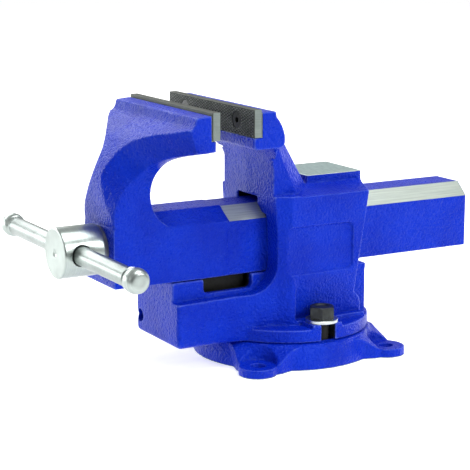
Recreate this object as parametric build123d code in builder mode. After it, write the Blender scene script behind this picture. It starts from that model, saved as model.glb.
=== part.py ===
from build123d import *

from math import cos, radians, sin
import os

# Bench vise on a swivel base.
# Frame: origin on the swivel axis at the bench plane, +X along the slide towards the rear,
# -X the handle end, +Z up. Millimetres. The vise is drawn with its jaws 26 mm apart.

# ---- driving dimensions -------------------------------------------------------------------------

# jaws
JAW_HALF = 63.5  # half of the 5 inch jaw width
JAW_GAP = 26.0
JAW_TOP = 189.6  # top of both jaw heads, a little below the plates
JAW_SHELF = 172.1  # ledge that carries a jaw plate
HEAD_BOTTOM = 164.0
PLATE_TOP = 191.5
PLATE_THICK = 6.3
FIXED_FACE = -63.7  # gripping face of the fixed jaw
MOVING_FACE = FIXED_FACE - JAW_GAP
JAW_SCREW_Y = 38.5
JAW_SCREW_Z = 182.0
JAW_SCREW_DIA = 6.0
JAW_SCREW_HEAD = 11.4
JAW_SCREW_LENGTH = 17.0

# slide beam of the moving jaw
SLIDE_HALF = 24.0
SLIDE_BOTTOM = 66.8
SLIDE_SHOULDER = 106.6  # where the machined bevel starts
SLIDE_TOP = 116.5
SLIDE_TOP_HALF = 13.2
SLIDE_REAR = 151.5
MACHINED_START = -63.0
CAST_SKIN = 0.6  # the casting left of the machined length is thicker by this
CHANNEL_HALF = 16.0
CHANNEL_ROOF = 108.2
BOSS_FRONT = -153.0
BOSS_WALL = 13.0
SLIDE_CLEARANCE = 0.35

# throat of the moving jaw: the arm bends around this centre
THROAT_X = -98.0
THROAT_Z = 131.0
THROAT_R = 26.0
ARM_END = 112.0  # degrees round the throat where the arm meets the boss

# spindle line
SPINDLE_Z = 92.2
SCREW_DIA = 22.0
SCREW_REAR = 95.0
HEAD_FRONT = -186.7
HEAD_REAR = -156.2
HEAD_R = 18.2
HANDLE_X = -173.65
HANDLE_DIA = 13.5
HANDLE_HOLE = 15.4
BALL_NEAR_Y = -100.0
BALL_FAR_Y = 107.5
BALL_R = 8.8
BAR_SEAT = 5.0  # radius of the bar's turned-down end inside a knob

# washers, spring and collar on the spindle, behind the boss wall
WALL_BACK = BOSS_FRONT + BOSS_WALL
SPRING_START = WALL_BACK + 1.6
SPRING_END = SPRING_START + 11.0
COLLAR_END = SPRING_END + 9.0
COLLAR_MIDDLE = (SPRING_END + COLLAR_END) / 2
COLLAR_R = 15.2
THRUST_WASHER_R = 16.6
PIN_DIA = 5.0
SPRING_WIRE = 2.2
SPRING_R = 13.2  # mean radius of the coils
SPRING_PITCH = 3.6
RUNNING_FIT = 0.1  # radial clearance of the spindle in its bores

# stationary body
BODY_BOTTOM = 19.0
BLOCK_FRONT = -108.1
BLOCK_HALF = 33.5
BLOCK_TOP = 52.0
RAIL_HALF = 25.7
RAIL_TOP = 66.3
CHEEK_HALF = 45.0
FLANK_HALF = 39.8  # half width at the front of the slide housing
CREASE_X = -20.5  # vertical crease where the flank meets the cheek
CHEEK_TOP = 123.1
COLUMN_HALF = 36.5
COLUMN_CORNER = 30.0  # half width of the column's back face
CORE_HALF = 35.0
CORE_REAR = 49.8
PAD_TOP = 134.6
PAD_HALF = 24.0
PAD_FRONT = 4.5
PAD_REAR = 52.3
CAVITY_HALF = 17.0
CAVITY_FLOOR = 33.0
PANEL_DEPTH = 1.8

# swivel flange and base
FLANGE_R = 63.0
FLANGE_TOP = 28.5
BOLT_PAD_TOP = 31.5
BOLT_R = 53.0  # distance of the lock bolts from the swivel axis
LOCK_SLOT = 11.4
SPIGOT_R = 20.0
BASE_TOP = 18.2
BASE_TOP_R = 64.5
BASE_BOTTOM_R = 69.0
EAR_PCD = 157.0
EAR_R = 14.0
EAR_TOP = 6.5
EAR_HOLE = 10.5
WEB_TOP = 16.6  # height of an ear's web where it leaves the rim
TEE_INNER = 43.5
TEE_OUTER = 62.5
TEE_FLOOR = 4.0
TEE_ROOF = 12.2

# lock bolts
BOLT_DIA = 10.0
HEX_AF = 17.0
HEX_HEIGHT = 9.2
WASHER_DIA = 24.0
WASHER_THICK = 2.4

# spindle nut
NUT_FRONT = -80.0
NUT_REAR = -44.0
NUT_HALF = 14.5
NUT_TOP = 106.0
NUT_BOLT_XS = (-71.0, -53.0)

os.makedirs("parts", exist_ok=True)


def save(part, label):
    """Label a finished piece and write its STEP file."""
    part.label = label
    export_step(part, f"parts/{label}.step")


def prism(plane, points, half, mode=Mode.ADD):
    """Extrude a closed outline by half to both sides of its plane."""
    with BuildSketch(plane) as outline:
        with BuildLine():
            Polyline(points, close=True)
        make_face()
    extrude(outline.sketch, amount=half, both=True, mode=mode)


def box_between(x_range, half_y, z_range, mode=Mode.ADD):
    """A box centred on the XZ plane, from its X range, half width and Z range."""
    centre = Vector(sum(x_range) / 2, 0, sum(z_range) / 2)
    with Locations(centre):
        Box(x_range[1] - x_range[0], 2 * half_y, z_range[1] - z_range[0], mode=mode)


def rod(start, direction, radius, length, mode=Mode.ADD):
    """A round bar from a start point along a direction."""
    with BuildSketch(Plane(origin=start, z_dir=direction)) as section:
        Circle(radius)
    extrude(section.sketch, amount=length, mode=mode)


# ---- swivel base --------------------------------------------------------------------------------


def make_swivel_base():
    """Round casting with four ears; the annular tee slot takes the lock-bolt nuts."""
    ear_x = EAR_PCD / 2
    with BuildPart() as web:
        with BuildSketch(Plane.XY):
            Polygon(
                (52, -31),
                (61, -26),
                (67, -21),
                (74.5, -17),
                (ear_x, -13.5),
                (ear_x, 13.5),
                (74.5, 17),
                (67, 21),
                (61, 26),
                (52, 31),
                align=None,
            )
        extrude(amount=WEB_TOP)
        slope = ((50, 0), (90, 0), (90, 2), (77.5, EAR_TOP), (63, WEB_TOP), (50, WEB_TOP))
        prism(Plane.XZ, slope, 40, mode=Mode.INTERSECT)
    with BuildPart() as base:
        with BuildSketch(Plane.XZ):
            with BuildLine():
                Polyline(
                    (0, 0),
                    (BASE_BOTTOM_R, 0),
                    (BASE_BOTTOM_R, EAR_TOP),
                    (BASE_TOP_R + 0.7, 16.5),
                    (BASE_TOP_R - 1.0, BASE_TOP),
                    (TEE_OUTER - 1.0, BASE_TOP),
                    (TEE_OUTER - 1.6, BODY_BOTTOM),
                    (SPIGOT_R, BODY_BOTTOM),
                    (SPIGOT_R, BODY_BOTTOM + 6.5),
                    (0, BODY_BOTTOM + 6.5),
                    close=True,
                )
            make_face()
        revolve(axis=Axis.Z)
        # four ears, each flowing into the round base by a tapered root
        for angle in (45, 135, 225, 315):
            ear_plane = Plane.XY.rotated((0, 0, angle))
            with BuildSketch(ear_plane):
                with BuildLine():
                    Polyline(
                        (44, -38),
                        (ear_x - 14, -17),
                        (ear_x, -EAR_R),
                        (ear_x, EAR_R),
                        (ear_x - 14, 17),
                        (44, 38),
                        close=True,
                    )
                make_face()
                with Locations((ear_x, 0)):
                    Circle(EAR_R)
            extrude(amount=EAR_TOP)
        vertical = base.edges().filter_by(Axis.Z).filter_by(lambda e: abs(e.length - EAR_TOP) < 0.01)
        fillet(vertical, radius=6)
        # a web on each ear, sloping down from the rim of the base
        for angle in (45, 135, 225, 315):
            add(web.part.rotate(Axis.Z, angle))
        # bolt holes with a scooped pocket above each ear for the bolt head
        with PolarLocations(ear_x, 4, start_angle=45):
            Cylinder(EAR_HOLE / 2, 60, mode=Mode.SUBTRACT)
        with Locations((0, 0, EAR_TOP)):
            with PolarLocations(ear_x, 4, start_angle=45):
                Cone(13.6, 15.2, 14, align=(Align.CENTER, Align.CENTER, Align.MIN), mode=Mode.SUBTRACT)
        # annular tee slot: narrow mouth on top, wide below
        with BuildSketch(Plane.XZ):
            with BuildLine():
                Polyline(
                    (TEE_INNER, TEE_FLOOR),
                    (TEE_OUTER, TEE_FLOOR),
                    (TEE_OUTER, TEE_ROOF),
                    (BOLT_R + LOCK_SLOT / 2, TEE_ROOF),
                    (BOLT_R + LOCK_SLOT / 2, BODY_BOTTOM + 1),
                    (BOLT_R - LOCK_SLOT / 2, BODY_BOTTOM + 1),
                    (BOLT_R - LOCK_SLOT / 2, TEE_ROOF),
                    (TEE_INNER, TEE_ROOF),
                    close=True,
                )
            make_face()
        revolve(axis=Axis.Z, mode=Mode.SUBTRACT)
        # entry window in the floor, through which the tee nuts are put in
        with BuildSketch(Plane.XY):
            with Locations((-BOLT_R, 0)):
                Rectangle(18.6, 20)
        extrude(amount=TEE_FLOOR, mode=Mode.SUBTRACT)
        # hollow underside
        with BuildSketch(Plane.XY):
            Circle(38)
        extrude(amount=11, mode=Mode.SUBTRACT)
    save(base.part, "swivel_base")


# ---- stationary body ----------------------------------------------------------------------------


def slide_section(grow, bottom=SLIDE_BOTTOM):
    """Corner points (Y, Z) of the slide beam, grown outwards at its sides and top."""
    side = SLIDE_HALF + grow
    top_half = SLIDE_TOP_HALF + 0.4 * grow
    return (
        (-side, bottom),
        (side, bottom),
        (side, SLIDE_SHOULDER + 0.4 * grow),
        (top_half, SLIDE_TOP + grow),
        (-top_half, SLIDE_TOP + grow),
        (-side, SLIDE_SHOULDER + 0.4 * grow),
    )


def make_pedestal():
    """Front block and cheeks: the plan outline cut to the side outline."""
    with BuildPart() as pedestal:
        with BuildSketch(Plane.XY.offset(BODY_BOTTOM)):
            with BuildLine():
                Polyline(
                    (BLOCK_FRONT, -BLOCK_HALF),
                    (-58, -BLOCK_HALF),
                    (-30, -FLANK_HALF),
                    (CREASE_X, -CHEEK_HALF),
                    (46, -CHEEK_HALF),
                    (46, CHEEK_HALF),
                    (CREASE_X, CHEEK_HALF),
                    (-30, FLANK_HALF),
                    (-58, BLOCK_HALF),
                    (BLOCK_FRONT, BLOCK_HALF),
                    close=True,
                )
            make_face()
        extrude(amount=CHEEK_TOP + 0.9 - BODY_BOTTOM)
        front_edges = pedestal.edges().filter_by(Axis.Z).sort_by(Axis.X)[:2]
        fillet(front_edges, radius=3)
        with BuildSketch(Plane.XZ):
            with BuildLine():
                Line((BLOCK_FRONT, BODY_BOTTOM), (BLOCK_FRONT, BLOCK_TOP))
                Line((BLOCK_FRONT, BLOCK_TOP), (-50, BLOCK_TOP + 1.2))
                RadiusArc((-50, BLOCK_TOP + 1.2), (-30, 74), -21)
                Line((-30, 74), (-30, 95))
                Line((-30, 95), (-32, CHEEK_TOP + 0.9))
                Line((-32, CHEEK_TOP + 0.9), (-14, CHEEK_TOP + 0.9))
                Line((-14, CHEEK_TOP + 0.9), (-13.5, CHEEK_TOP))
                Line((-13.5, CHEEK_TOP), (46, CHEEK_TOP))
                Line((46, CHEEK_TOP), (36.4, 64))
                Line((36.4, 64), (35.6, 47))
                RadiusArc((35.6, 47), (43, BOLT_PAD_TOP - 1), 16)
                Line((43, BOLT_PAD_TOP - 1), (43, BODY_BOTTOM))
                Line((43, BODY_BOTTOM), (BLOCK_FRONT, BODY_BOTTOM))
            make_face()
        extrude(amount=CHEEK_HALF + 5, both=True, mode=Mode.INTERSECT)
        bottom_front = pedestal.edges().filter_by(Axis.Y).group_by(Axis.Z)[0].sort_by(Axis.X)[0]
        fillet(bottom_front, radius=4)
    return pedestal.part


def column_outline(side_rear, rear):
    """Plan outline of the column: slightly ridged front, wide chamfers at the back."""
    return (
        (-33.4, 0),
        (-31.6, -COLUMN_HALF),
        (side_rear, -COLUMN_HALF),
        (rear, -COLUMN_CORNER),
        (rear, COLUMN_CORNER),
        (side_rear, COLUMN_HALF),
        (-31.6, COLUMN_HALF),
    )


def make_fixed_jaw():
    """Column with a gusset, the flared haunch over it, and the head of the fixed jaw."""
    with BuildPart() as jaw:
        for height, side_rear, rear in ((110.0, -6.3, 10.3), (HEAD_BOTTOM, -30.4, -20.4)):
            with BuildSketch(Plane.XY.offset(height)):
                with BuildLine():
                    Polyline(column_outline(side_rear, rear), close=True)
                make_face()
        loft(ruled=True)
        # gusset behind the jaw head
        prism(Plane.XZ, ((-45, 160), (-18.1, 160), (-38, 178), (-45, 178)), COLUMN_CORNER)
    with BuildPart() as arch:
        # concave haunch from the column front up to the underside of the head
        with BuildSketch(Plane.XZ):
            with BuildLine():
                RadiusArc((-32.5, 146), (-52, HEAD_BOTTOM), -19)
                Line((-52, HEAD_BOTTOM), (-39, HEAD_BOTTOM))
                Polyline((-39, HEAD_BOTTOM), (-34.2, 155), (-31.7, 146), (-32.5, 146))
            make_face()
        extrude(amount=JAW_HALF, both=True)
        with BuildSketch(Plane.YZ):
            with BuildLine():
                Polyline(
                    (-33, 140),
                    (33, 140),
                    (COLUMN_HALF, 147),
                    (56, HEAD_BOTTOM),
                    (-56, HEAD_BOTTOM),
                    (-COLUMN_HALF, 147),
                    close=True,
                )
            make_face()
        extrude(amount=80, both=True, mode=Mode.INTERSECT)
    with BuildPart() as head:
        with BuildSketch(Plane.XZ):
            with BuildLine():
                Polyline(
                    (FIXED_FACE + PLATE_THICK, JAW_TOP),
                    (-45.5, JAW_TOP),
                    (-45, 185.5),
                )
                Spline((-45, 185.5), (-41.3, 180.6), (-37.9, 168.5))
                Polyline(
                    (-37.9, 168.5),
                    (-38.8, 164.8),
                    (-42, HEAD_BOTTOM - 0.8),
                    (-61.5, HEAD_BOTTOM - 0.8),
                    (FIXED_FACE + 0.4, HEAD_BOTTOM + 1),
                    (FIXED_FACE + 0.4, JAW_SHELF),
                    (FIXED_FACE + PLATE_THICK, JAW_SHELF),
                    (FIXED_FACE + PLATE_THICK, JAW_TOP),
                )
            make_face()
        extrude(amount=JAW_HALF, both=True)
    return jaw.part, arch.part, head.part


def make_stationary_body():
    """Swivel flange, pedestal, slide housing, anvil and fixed jaw in one casting."""
    pedestal = make_pedestal()
    column, arch, head = make_fixed_jaw()
    with BuildPart() as body:
        with BuildSketch(Plane.XY.offset(BODY_BOTTOM)):
            Circle(FLANGE_R)
        extrude(amount=FLANGE_TOP - BODY_BOTTOM)
        # raised pads under the lock bolts, trimmed to the rim of the flange
        with BuildSketch(Plane.XY.offset(FLANGE_TOP)):
            Circle(FLANGE_R)
            Rectangle(25, 2 * FLANGE_R, mode=Mode.INTERSECT)
        extrude(amount=BOLT_PAD_TOP - FLANGE_TOP)
        add(pedestal)
        # guide rails inside the front block, and the core behind it
        box_between((BLOCK_FRONT, -10), RAIL_HALF, (BODY_BOTTOM + 8, RAIL_TOP))
        box_between((-20, CORE_REAR), CORE_HALF, (BODY_BOTTOM, RAIL_TOP))
        # sloped shoulder and pad of the anvil
        with BuildSketch(Plane.XY.offset(CHEEK_TOP)):
            with Locations((16.25, 0)):
                Rectangle(59.5, 2 * CHEEK_HALF)
        with BuildSketch(Plane.XY.offset(PAD_TOP - 6.3)):
            with Locations(((1.0 + PAD_REAR) / 2, 0)):
                Rectangle(PAD_REAR - 1.0, 2 * PAD_HALF)
        loft(ruled=True)
        box_between((PAD_FRONT, PAD_REAR), PAD_HALF, (CHEEK_TOP, PAD_TOP))
        add(column)
        add(arch)
        add(head)

        # passage for the slide, with a relief above its painted top
        prism(Plane.YZ, slide_section(SLIDE_CLEARANCE, RAIL_TOP), 200, mode=Mode.SUBTRACT)
        box_between((-60, 60), 14.5, (110, 120.8), mode=Mode.SUBTRACT)
        # cavity for the nut, and a window to it in each rail
        box_between((-96, 38), CAVITY_HALF, (CAVITY_FLOOR, RAIL_TOP + 1), mode=Mode.SUBTRACT)
        with BuildSketch(Plane.XZ):
            with Locations((-63, 62.5)):
                RectangleRounded(39.6, 13, 3.5)
        extrude(amount=RAIL_HALF + 1, both=True, mode=Mode.SUBTRACT)
        # shallow panel on each cheek, open towards the front crease
        for side in (-1, 1):
            with BuildSketch(Plane.XZ.offset(side * CHEEK_HALF)):
                with Locations((0, 83.5)):
                    RectangleRounded(64, 35, 4.5)
                with Locations((16, 83.5)):
                    Rectangle(96, 40, mode=Mode.INTERSECT)
            extrude(amount=PANEL_DEPTH, both=True, mode=Mode.SUBTRACT)
            # the lower cheek leans in to clear the head of the lock bolt
            lean = ((side * 46, 64), (side * 45, 63), (side * 39, BOLT_PAD_TOP), (side * 46, BOLT_PAD_TOP))
            with BuildSketch(Plane.YZ.offset(-17.0)):
                with BuildLine():
                    Polyline(lean, close=True)
                make_face()
            extrude(amount=70, mode=Mode.SUBTRACT)
        # radial slots for the lock bolts, open to the rim
        for side in (-1, 1):
            with BuildSketch(Plane.XY.offset(BODY_BOTTOM)):
                with Locations((0, side * BOLT_R)):
                    Circle(LOCK_SLOT / 2)
                with Locations((0, side * (BOLT_R + 10))):
                    Rectangle(LOCK_SLOT, 20)
            extrude(amount=20, mode=Mode.SUBTRACT)
        # socket for the spigot of the base
        rod((0, 0, BODY_BOTTOM), (0, 0, 1), SPIGOT_R + 0.1, 7.2, mode=Mode.SUBTRACT)
        # counterbored holes for the nut bolts, from below
        for x in NUT_BOLT_XS:
            rod((x, 0, BODY_BOTTOM), (0, 0, 1), 4.3, 20, mode=Mode.SUBTRACT)
            rod((x, 0, BODY_BOTTOM), (0, 0, 1), 7.0, 8.8, mode=Mode.SUBTRACT)
        # drilled hole in the front of the block, off to the far side
        rod((BLOCK_FRONT, 27.6, 31.8), (1, 0, 0), 4.7, 15, mode=Mode.SUBTRACT)
        # tapped holes for the jaw plate screws
        for y in (-JAW_SCREW_Y, JAW_SCREW_Y):
            rod((FIXED_FACE + 5, y, JAW_SCREW_Z), (1, 0, 0), JAW_SCREW_DIA / 2, 14, mode=Mode.SUBTRACT)
    save(body.part, "stationary_body")


# ---- moving jaw ---------------------------------------------------------------------------------

# shape of the arm at angles round the throat, from the jaw head (0) down to the boss:
# angle, then radius and half width of the waist corner and of the outer ridge
ARM_STATIONS = (
    (0.0, 33.0, 63.5, 50.5, 63.5),
    (16.6, 34.2, 63.5, 52.2, 63.5),
    (26.0, 34.8, 55.0, 52.3, 51.0),
    (32.8, 35.2, 48.0, 53.6, 39.0),
    (43.9, 36.4, 39.0, 54.7, 23.0),
    (51.5, 36.0, 31.0, 54.9, 15.6),
    (60.0, 37.0, 26.5, 55.3, 10.5),
    (75.0, 42.3, 25.0, 57.5, 7.2),
    (90.0, 50.6, 25.0, 57.4, 14.0),
    (101.0, 55.4, 25.0, 57.2, 21.0),
    (ARM_END, 58.0, 24.8, 58.6, 24.6),
)
ARM_STEPS = 3  # lofted sections from one station to the next


def throat_point(angle, radius):
    """Point (X, Z) at an angle from the vertical and a radius round the throat."""
    turn = radians(angle)
    return (THROAT_X - radius * sin(turn), THROAT_Z + radius * cos(turn))


def blend(before, start, end, after, share):
    """Smooth curve through start and end, its slopes taken from the neighbours."""
    slope_start = (end - before) / 2
    slope_end = (after - start) / 2
    gap = end - start
    bend = 3 * gap - 2 * slope_start - slope_end
    return start + share * (slope_start + share * (bend + share * (slope_start + slope_end - 2 * gap)))


def arm_sections():
    """The stations, with smooth sections in between from the second one on."""
    sections = [ARM_STATIONS[0]]
    last = len(ARM_STATIONS) - 1
    for index in range(1, last):
        around = [ARM_STATIONS[min(index + shift, last)] for shift in (-1, 0, 1, 2)]
        if index == 1:
            around[0] = around[1]
        for step in range(ARM_STEPS):
            share = step / ARM_STEPS
            sections.append(tuple(blend(*values, share) for values in zip(*around)))
    sections.append(ARM_STATIONS[last])
    return sections


def make_arm():
    """C-shaped arm: wide under the jaw head, bow-shaped in front, narrow at the boss."""
    with BuildPart() as arm:
        for angle, waist_r, waist_half, ridge_r, ridge_half in arm_sections():
            turn = radians(angle)
            centre = (THROAT_X, 0, THROAT_Z)
            with BuildSketch(Plane(origin=centre, x_dir=(0, 1, 0), z_dir=(cos(turn), 0, sin(turn)))):
                with BuildLine():
                    Polyline(
                        (-25, THROAT_R),
                        (25, THROAT_R),
                        (waist_half, waist_r),
                        (ridge_half, ridge_r),
                        (-ridge_half, ridge_r),
                        (-waist_half, waist_r),
                        close=True,
                    )
                make_face()
        loft(ruled=True)
    return arm.part


def make_moving_jaw():
    """Slide beam, front boss, arm and jaw head in one casting."""
    arm = make_arm()
    with BuildPart() as jaw:
        # the beam: machined rear length, as-cast front length
        boss_rear = BOSS_FRONT + 20
        for start, end, grow in ((MACHINED_START, SLIDE_REAR, 0), (boss_rear, MACHINED_START, CAST_SKIN)):
            prism(Plane.YZ.offset((start + end) / 2), slide_section(grow), (end - start) / 2)
        # front boss up to where the arm starts
        with BuildSketch(Plane.XZ):
            with BuildLine():
                inner = throat_point(ARM_END, THROAT_R)
                low = throat_point(152, THROAT_R)
                Line((BOSS_FRONT, SLIDE_BOTTOM), (BOSS_FRONT, 109))
                Line((BOSS_FRONT, 109), throat_point(ARM_END, 58.6))
                Line(throat_point(ARM_END, 58.6), inner)
                ThreePointArc(inner, throat_point(132, THROAT_R), low)
                Line(low, (low[0], SLIDE_BOTTOM))
                Line((low[0], SLIDE_BOTTOM), (BOSS_FRONT, SLIDE_BOTTOM))
            make_face()
        extrude(amount=SLIDE_HALF + CAST_SKIN, both=True)
        add(arm)
        # jaw head with the ledge for the plate
        prism(
            Plane.XZ,
            (
                (MOVING_FACE - PLATE_THICK, JAW_TOP),
                (-108.2, JAW_TOP - 0.9),
                (-109.4, 183.8),
                (-111.2, 181.6),
                (-112.4, 180.8),
                (-107.5, HEAD_BOTTOM),
                (MOVING_FACE - 3.4, HEAD_BOTTOM),
                (MOVING_FACE - 3.4, JAW_SHELF),
                (MOVING_FACE - PLATE_THICK, JAW_SHELF),
            ),
            JAW_HALF,
        )
        prism(Plane.YZ.offset(-95.7), ((-25, 157), (25, 157), (48, 164.5), (-48, 164.5)), 2.4)
        # hollow beam, open below and at the rear
        box_between((WALL_BACK, SLIDE_REAR + 1), CHANNEL_HALF, (60, CHANNEL_ROOF), mode=Mode.SUBTRACT)
        # bore for the spindle
        bore = SCREW_DIA / 2 + RUNNING_FIT
        rod((BOSS_FRONT - 1, 0, SPINDLE_Z), (1, 0, 0), bore, BOSS_WALL + 2, mode=Mode.SUBTRACT)
        for y in (-JAW_SCREW_Y, JAW_SCREW_Y):
            start = (MOVING_FACE - 5, y, JAW_SCREW_Z)
            rod(start, (-1, 0, 0), JAW_SCREW_DIA / 2, 14, mode=Mode.SUBTRACT)
    save(jaw.part, "moving_jaw")


# ---- jaw plates and their screws ----------------------------------------------------------------


def make_jaw_plate(face_x, facing, label):
    """Steel plate with two countersunk holes; facing is the direction its grip looks in X."""
    with BuildPart() as plate:
        with Locations((face_x - facing * PLATE_THICK / 2, 0, (JAW_SHELF + PLATE_TOP) / 2)):
            Box(PLATE_THICK, 2 * JAW_HALF, PLATE_TOP - JAW_SHELF)
        chamfer(plate.edges().group_by(Axis.Z)[-1], length=0.4)
        grip = Plane(origin=(face_x, 0, JAW_SCREW_Z), x_dir=(0, 1, 0), z_dir=(facing, 0, 0))
        with Locations(grip):
            with Locations((-JAW_SCREW_Y, 0), (JAW_SCREW_Y, 0)):
                CounterSinkHole(JAW_SCREW_DIA / 2 + 0.2, JAW_SCREW_HEAD / 2 + 0.6, counter_sink_angle=90)
    save(plate.part, label)


def make_jaw_screws(face_x, facing, label):
    """Two countersunk socket screws, sunk a little below the gripping face."""
    head_depth = (JAW_SCREW_HEAD - JAW_SCREW_DIA) / 2
    with BuildPart() as screws:
        for y in (-JAW_SCREW_Y, JAW_SCREW_Y):
            top = (face_x - facing * 0.5, y, JAW_SCREW_Z)
            inward = Plane(origin=top, z_dir=(-facing, 0, 0))
            with Locations(inward):
                Cone(
                    JAW_SCREW_HEAD / 2,
                    JAW_SCREW_DIA / 2,
                    head_depth,
                    align=(Align.CENTER, Align.CENTER, Align.MIN),
                )
                Cylinder(JAW_SCREW_DIA / 2, JAW_SCREW_LENGTH, align=(Align.CENTER, Align.CENTER, Align.MIN))
            with BuildSketch(inward):
                RegularPolygon(2.3, 6)
            extrude(amount=2.6, mode=Mode.SUBTRACT)
    save(screws.part, label)


# ---- spindle group ------------------------------------------------------------------------------


def make_spindle():
    """Turned head with a cross hole for the bar, then the threaded rod."""
    with BuildPart() as spindle:
        with BuildSketch(Plane.XZ):
            with BuildLine():
                Polyline(
                    (HEAD_FRONT, SPINDLE_Z),
                    (HEAD_FRONT, SPINDLE_Z + HEAD_R - 1.2),
                    (HEAD_FRONT + 1.2, SPINDLE_Z + HEAD_R),
                    (HEAD_REAR, SPINDLE_Z + HEAD_R),
                    (HEAD_REAR, SPINDLE_Z + SCREW_DIA / 2),
                    (SCREW_REAR - 2, SPINDLE_Z + SCREW_DIA / 2),
                    (SCREW_REAR, SPINDLE_Z + SCREW_DIA / 2 - 2),
                    (SCREW_REAR, SPINDLE_Z),
                    close=True,
                )
            make_face()
        revolve(axis=Axis((0, 0, SPINDLE_Z), (1, 0, 0)))
        rod((HANDLE_X, -30, SPINDLE_Z), (0, 1, 0), HANDLE_HOLE / 2, 60, mode=Mode.SUBTRACT)
        pin_hole = (COLLAR_MIDDLE, 0, SPINDLE_Z - 20)
        rod(pin_hole, (0, 0, 1), PIN_DIA / 2, 40, mode=Mode.SUBTRACT)
    save(spindle.part, "spindle")


def ring(x_range, outer_r, inner_r):
    """A ring around the spindle line."""
    rod((x_range[0], 0, SPINDLE_Z), (1, 0, 0), outer_r, x_range[1] - x_range[0])
    rod((x_range[0], 0, SPINDLE_Z), (1, 0, 0), inner_r, x_range[1] - x_range[0], mode=Mode.SUBTRACT)


def make_thrust_pieces():
    """Thrust washer, spring washer, spring, collar and its pin, threaded on the spindle."""
    bore = SCREW_DIA / 2 + RUNNING_FIT
    with BuildPart() as thrust_washer:
        ring((HEAD_REAR, BOSS_FRONT), THRUST_WASHER_R, bore)
    save(thrust_washer.part, "thrust_washer")

    with BuildPart() as spring_washer:
        ring((WALL_BACK, SPRING_START), COLLAR_R, bore)
    save(spring_washer.part, "spring_washer")

    coil_height = SPRING_END - SPRING_START - SPRING_WIRE
    with BuildPart() as spring:
        start = (SPRING_START + SPRING_WIRE / 2, 0, SPINDLE_Z)
        with BuildLine() as path:
            Helix(SPRING_PITCH, coil_height, SPRING_R, center=start, direction=(1, 0, 0))
        with BuildSketch(Plane(origin=path.line @ 0, z_dir=path.line % 0)):
            Circle(SPRING_WIRE / 2)
        sweep(path=path.line, is_frenet=True)
    save(spring.part, "thrust_spring")

    with BuildPart() as collar:
        ring((SPRING_END, COLLAR_END), COLLAR_R, bore)
        rod((COLLAR_MIDDLE, 0, SPINDLE_Z - 20), (0, 0, 1), PIN_DIA / 2, 40, mode=Mode.SUBTRACT)
    save(collar.part, "thrust_collar")

    # a rolled tube, a little shorter than the collar is wide
    pin_half = COLLAR_R - 0.6
    with BuildPart() as pin:
        with Locations((COLLAR_MIDDLE, 0, SPINDLE_Z)):
            Cylinder(PIN_DIA / 2, 2 * pin_half)
            Cylinder(PIN_DIA / 2 - 1, 2 * pin_half, mode=Mode.SUBTRACT)
    save(pin.part, "collar_pin")


def make_handle():
    """Sliding bar with a pressed-on knob at each end."""
    with BuildPart() as bar:
        length = BALL_FAR_Y - BALL_NEAR_Y
        rod((HANDLE_X, BALL_NEAR_Y, SPINDLE_Z), (0, 1, 0), BAR_SEAT, length)
        neck = BALL_R - 1.6
        rod((HANDLE_X, BALL_NEAR_Y + neck, SPINDLE_Z), (0, 1, 0), HANDLE_DIA / 2, length - 2 * neck)
    save(bar.part, "handle_bar")

    for label, centre, outward in (
        ("handle_ball_near", BALL_NEAR_Y, -1),
        ("handle_ball_far", BALL_FAR_Y, 1),
    ):
        with BuildPart() as ball:
            with Locations((HANDLE_X, centre, SPINDLE_Z)):
                Sphere(BALL_R)
            # flat end, and the seat of the bar
            flat_y = centre + outward * (BALL_R - 0.8)
            flat = Plane(origin=(HANDLE_X, flat_y, SPINDLE_Z), z_dir=(0, outward, 0))
            split(bisect_by=flat, keep=Keep.BOTTOM)
            inner_face = (HANDLE_X, centre - outward * (BALL_R - 1.6), SPINDLE_Z)
            away = (0, -outward, 0)
            rod(inner_face, away, BALL_R, BALL_R, mode=Mode.SUBTRACT)
            rod(inner_face, (0, outward, 0), BAR_SEAT, BALL_R - 1.6, mode=Mode.SUBTRACT)
        save(ball.part, label)


# ---- spindle nut --------------------------------------------------------------------------------


def make_nut():
    """Nut block that stands in the body cavity, inside the hollow slide."""
    with BuildPart() as nut:
        box_between((NUT_FRONT, NUT_REAR), NUT_HALF, (CAVITY_FLOOR, NUT_TOP))
        top_edges = nut.edges().filter_by(Axis.X).group_by(Axis.Z)[-1]
        fillet(top_edges, radius=8)
        bore = SCREW_DIA / 2 + RUNNING_FIT
        rod((NUT_FRONT - 1, 0, SPINDLE_Z), (1, 0, 0), bore, NUT_REAR - NUT_FRONT + 2, mode=Mode.SUBTRACT)
        for x in NUT_BOLT_XS:
            rod((x, 0, CAVITY_FLOOR), (0, 0, 1), 4.0, 20, mode=Mode.SUBTRACT)
    save(nut.part, "spindle_nut")

    with BuildPart() as bolts:
        for x in NUT_BOLT_XS:
            rod((x, 0, BODY_BOTTOM + 0.8), (0, 0, 1), 6.5, 8.0)
            rod((x, 0, BODY_BOTTOM + 8.8), (0, 0, 1), 4.0, 24)
            with BuildSketch(Plane.XY.offset(BODY_BOTTOM + 0.8)):
                with Locations((x, 0)):
                    RegularPolygon(3.46, 6)
            extrude(amount=4, mode=Mode.SUBTRACT)
    save(bolts.part, "nut_bolts")


# ---- swivel lock --------------------------------------------------------------------------------


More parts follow.
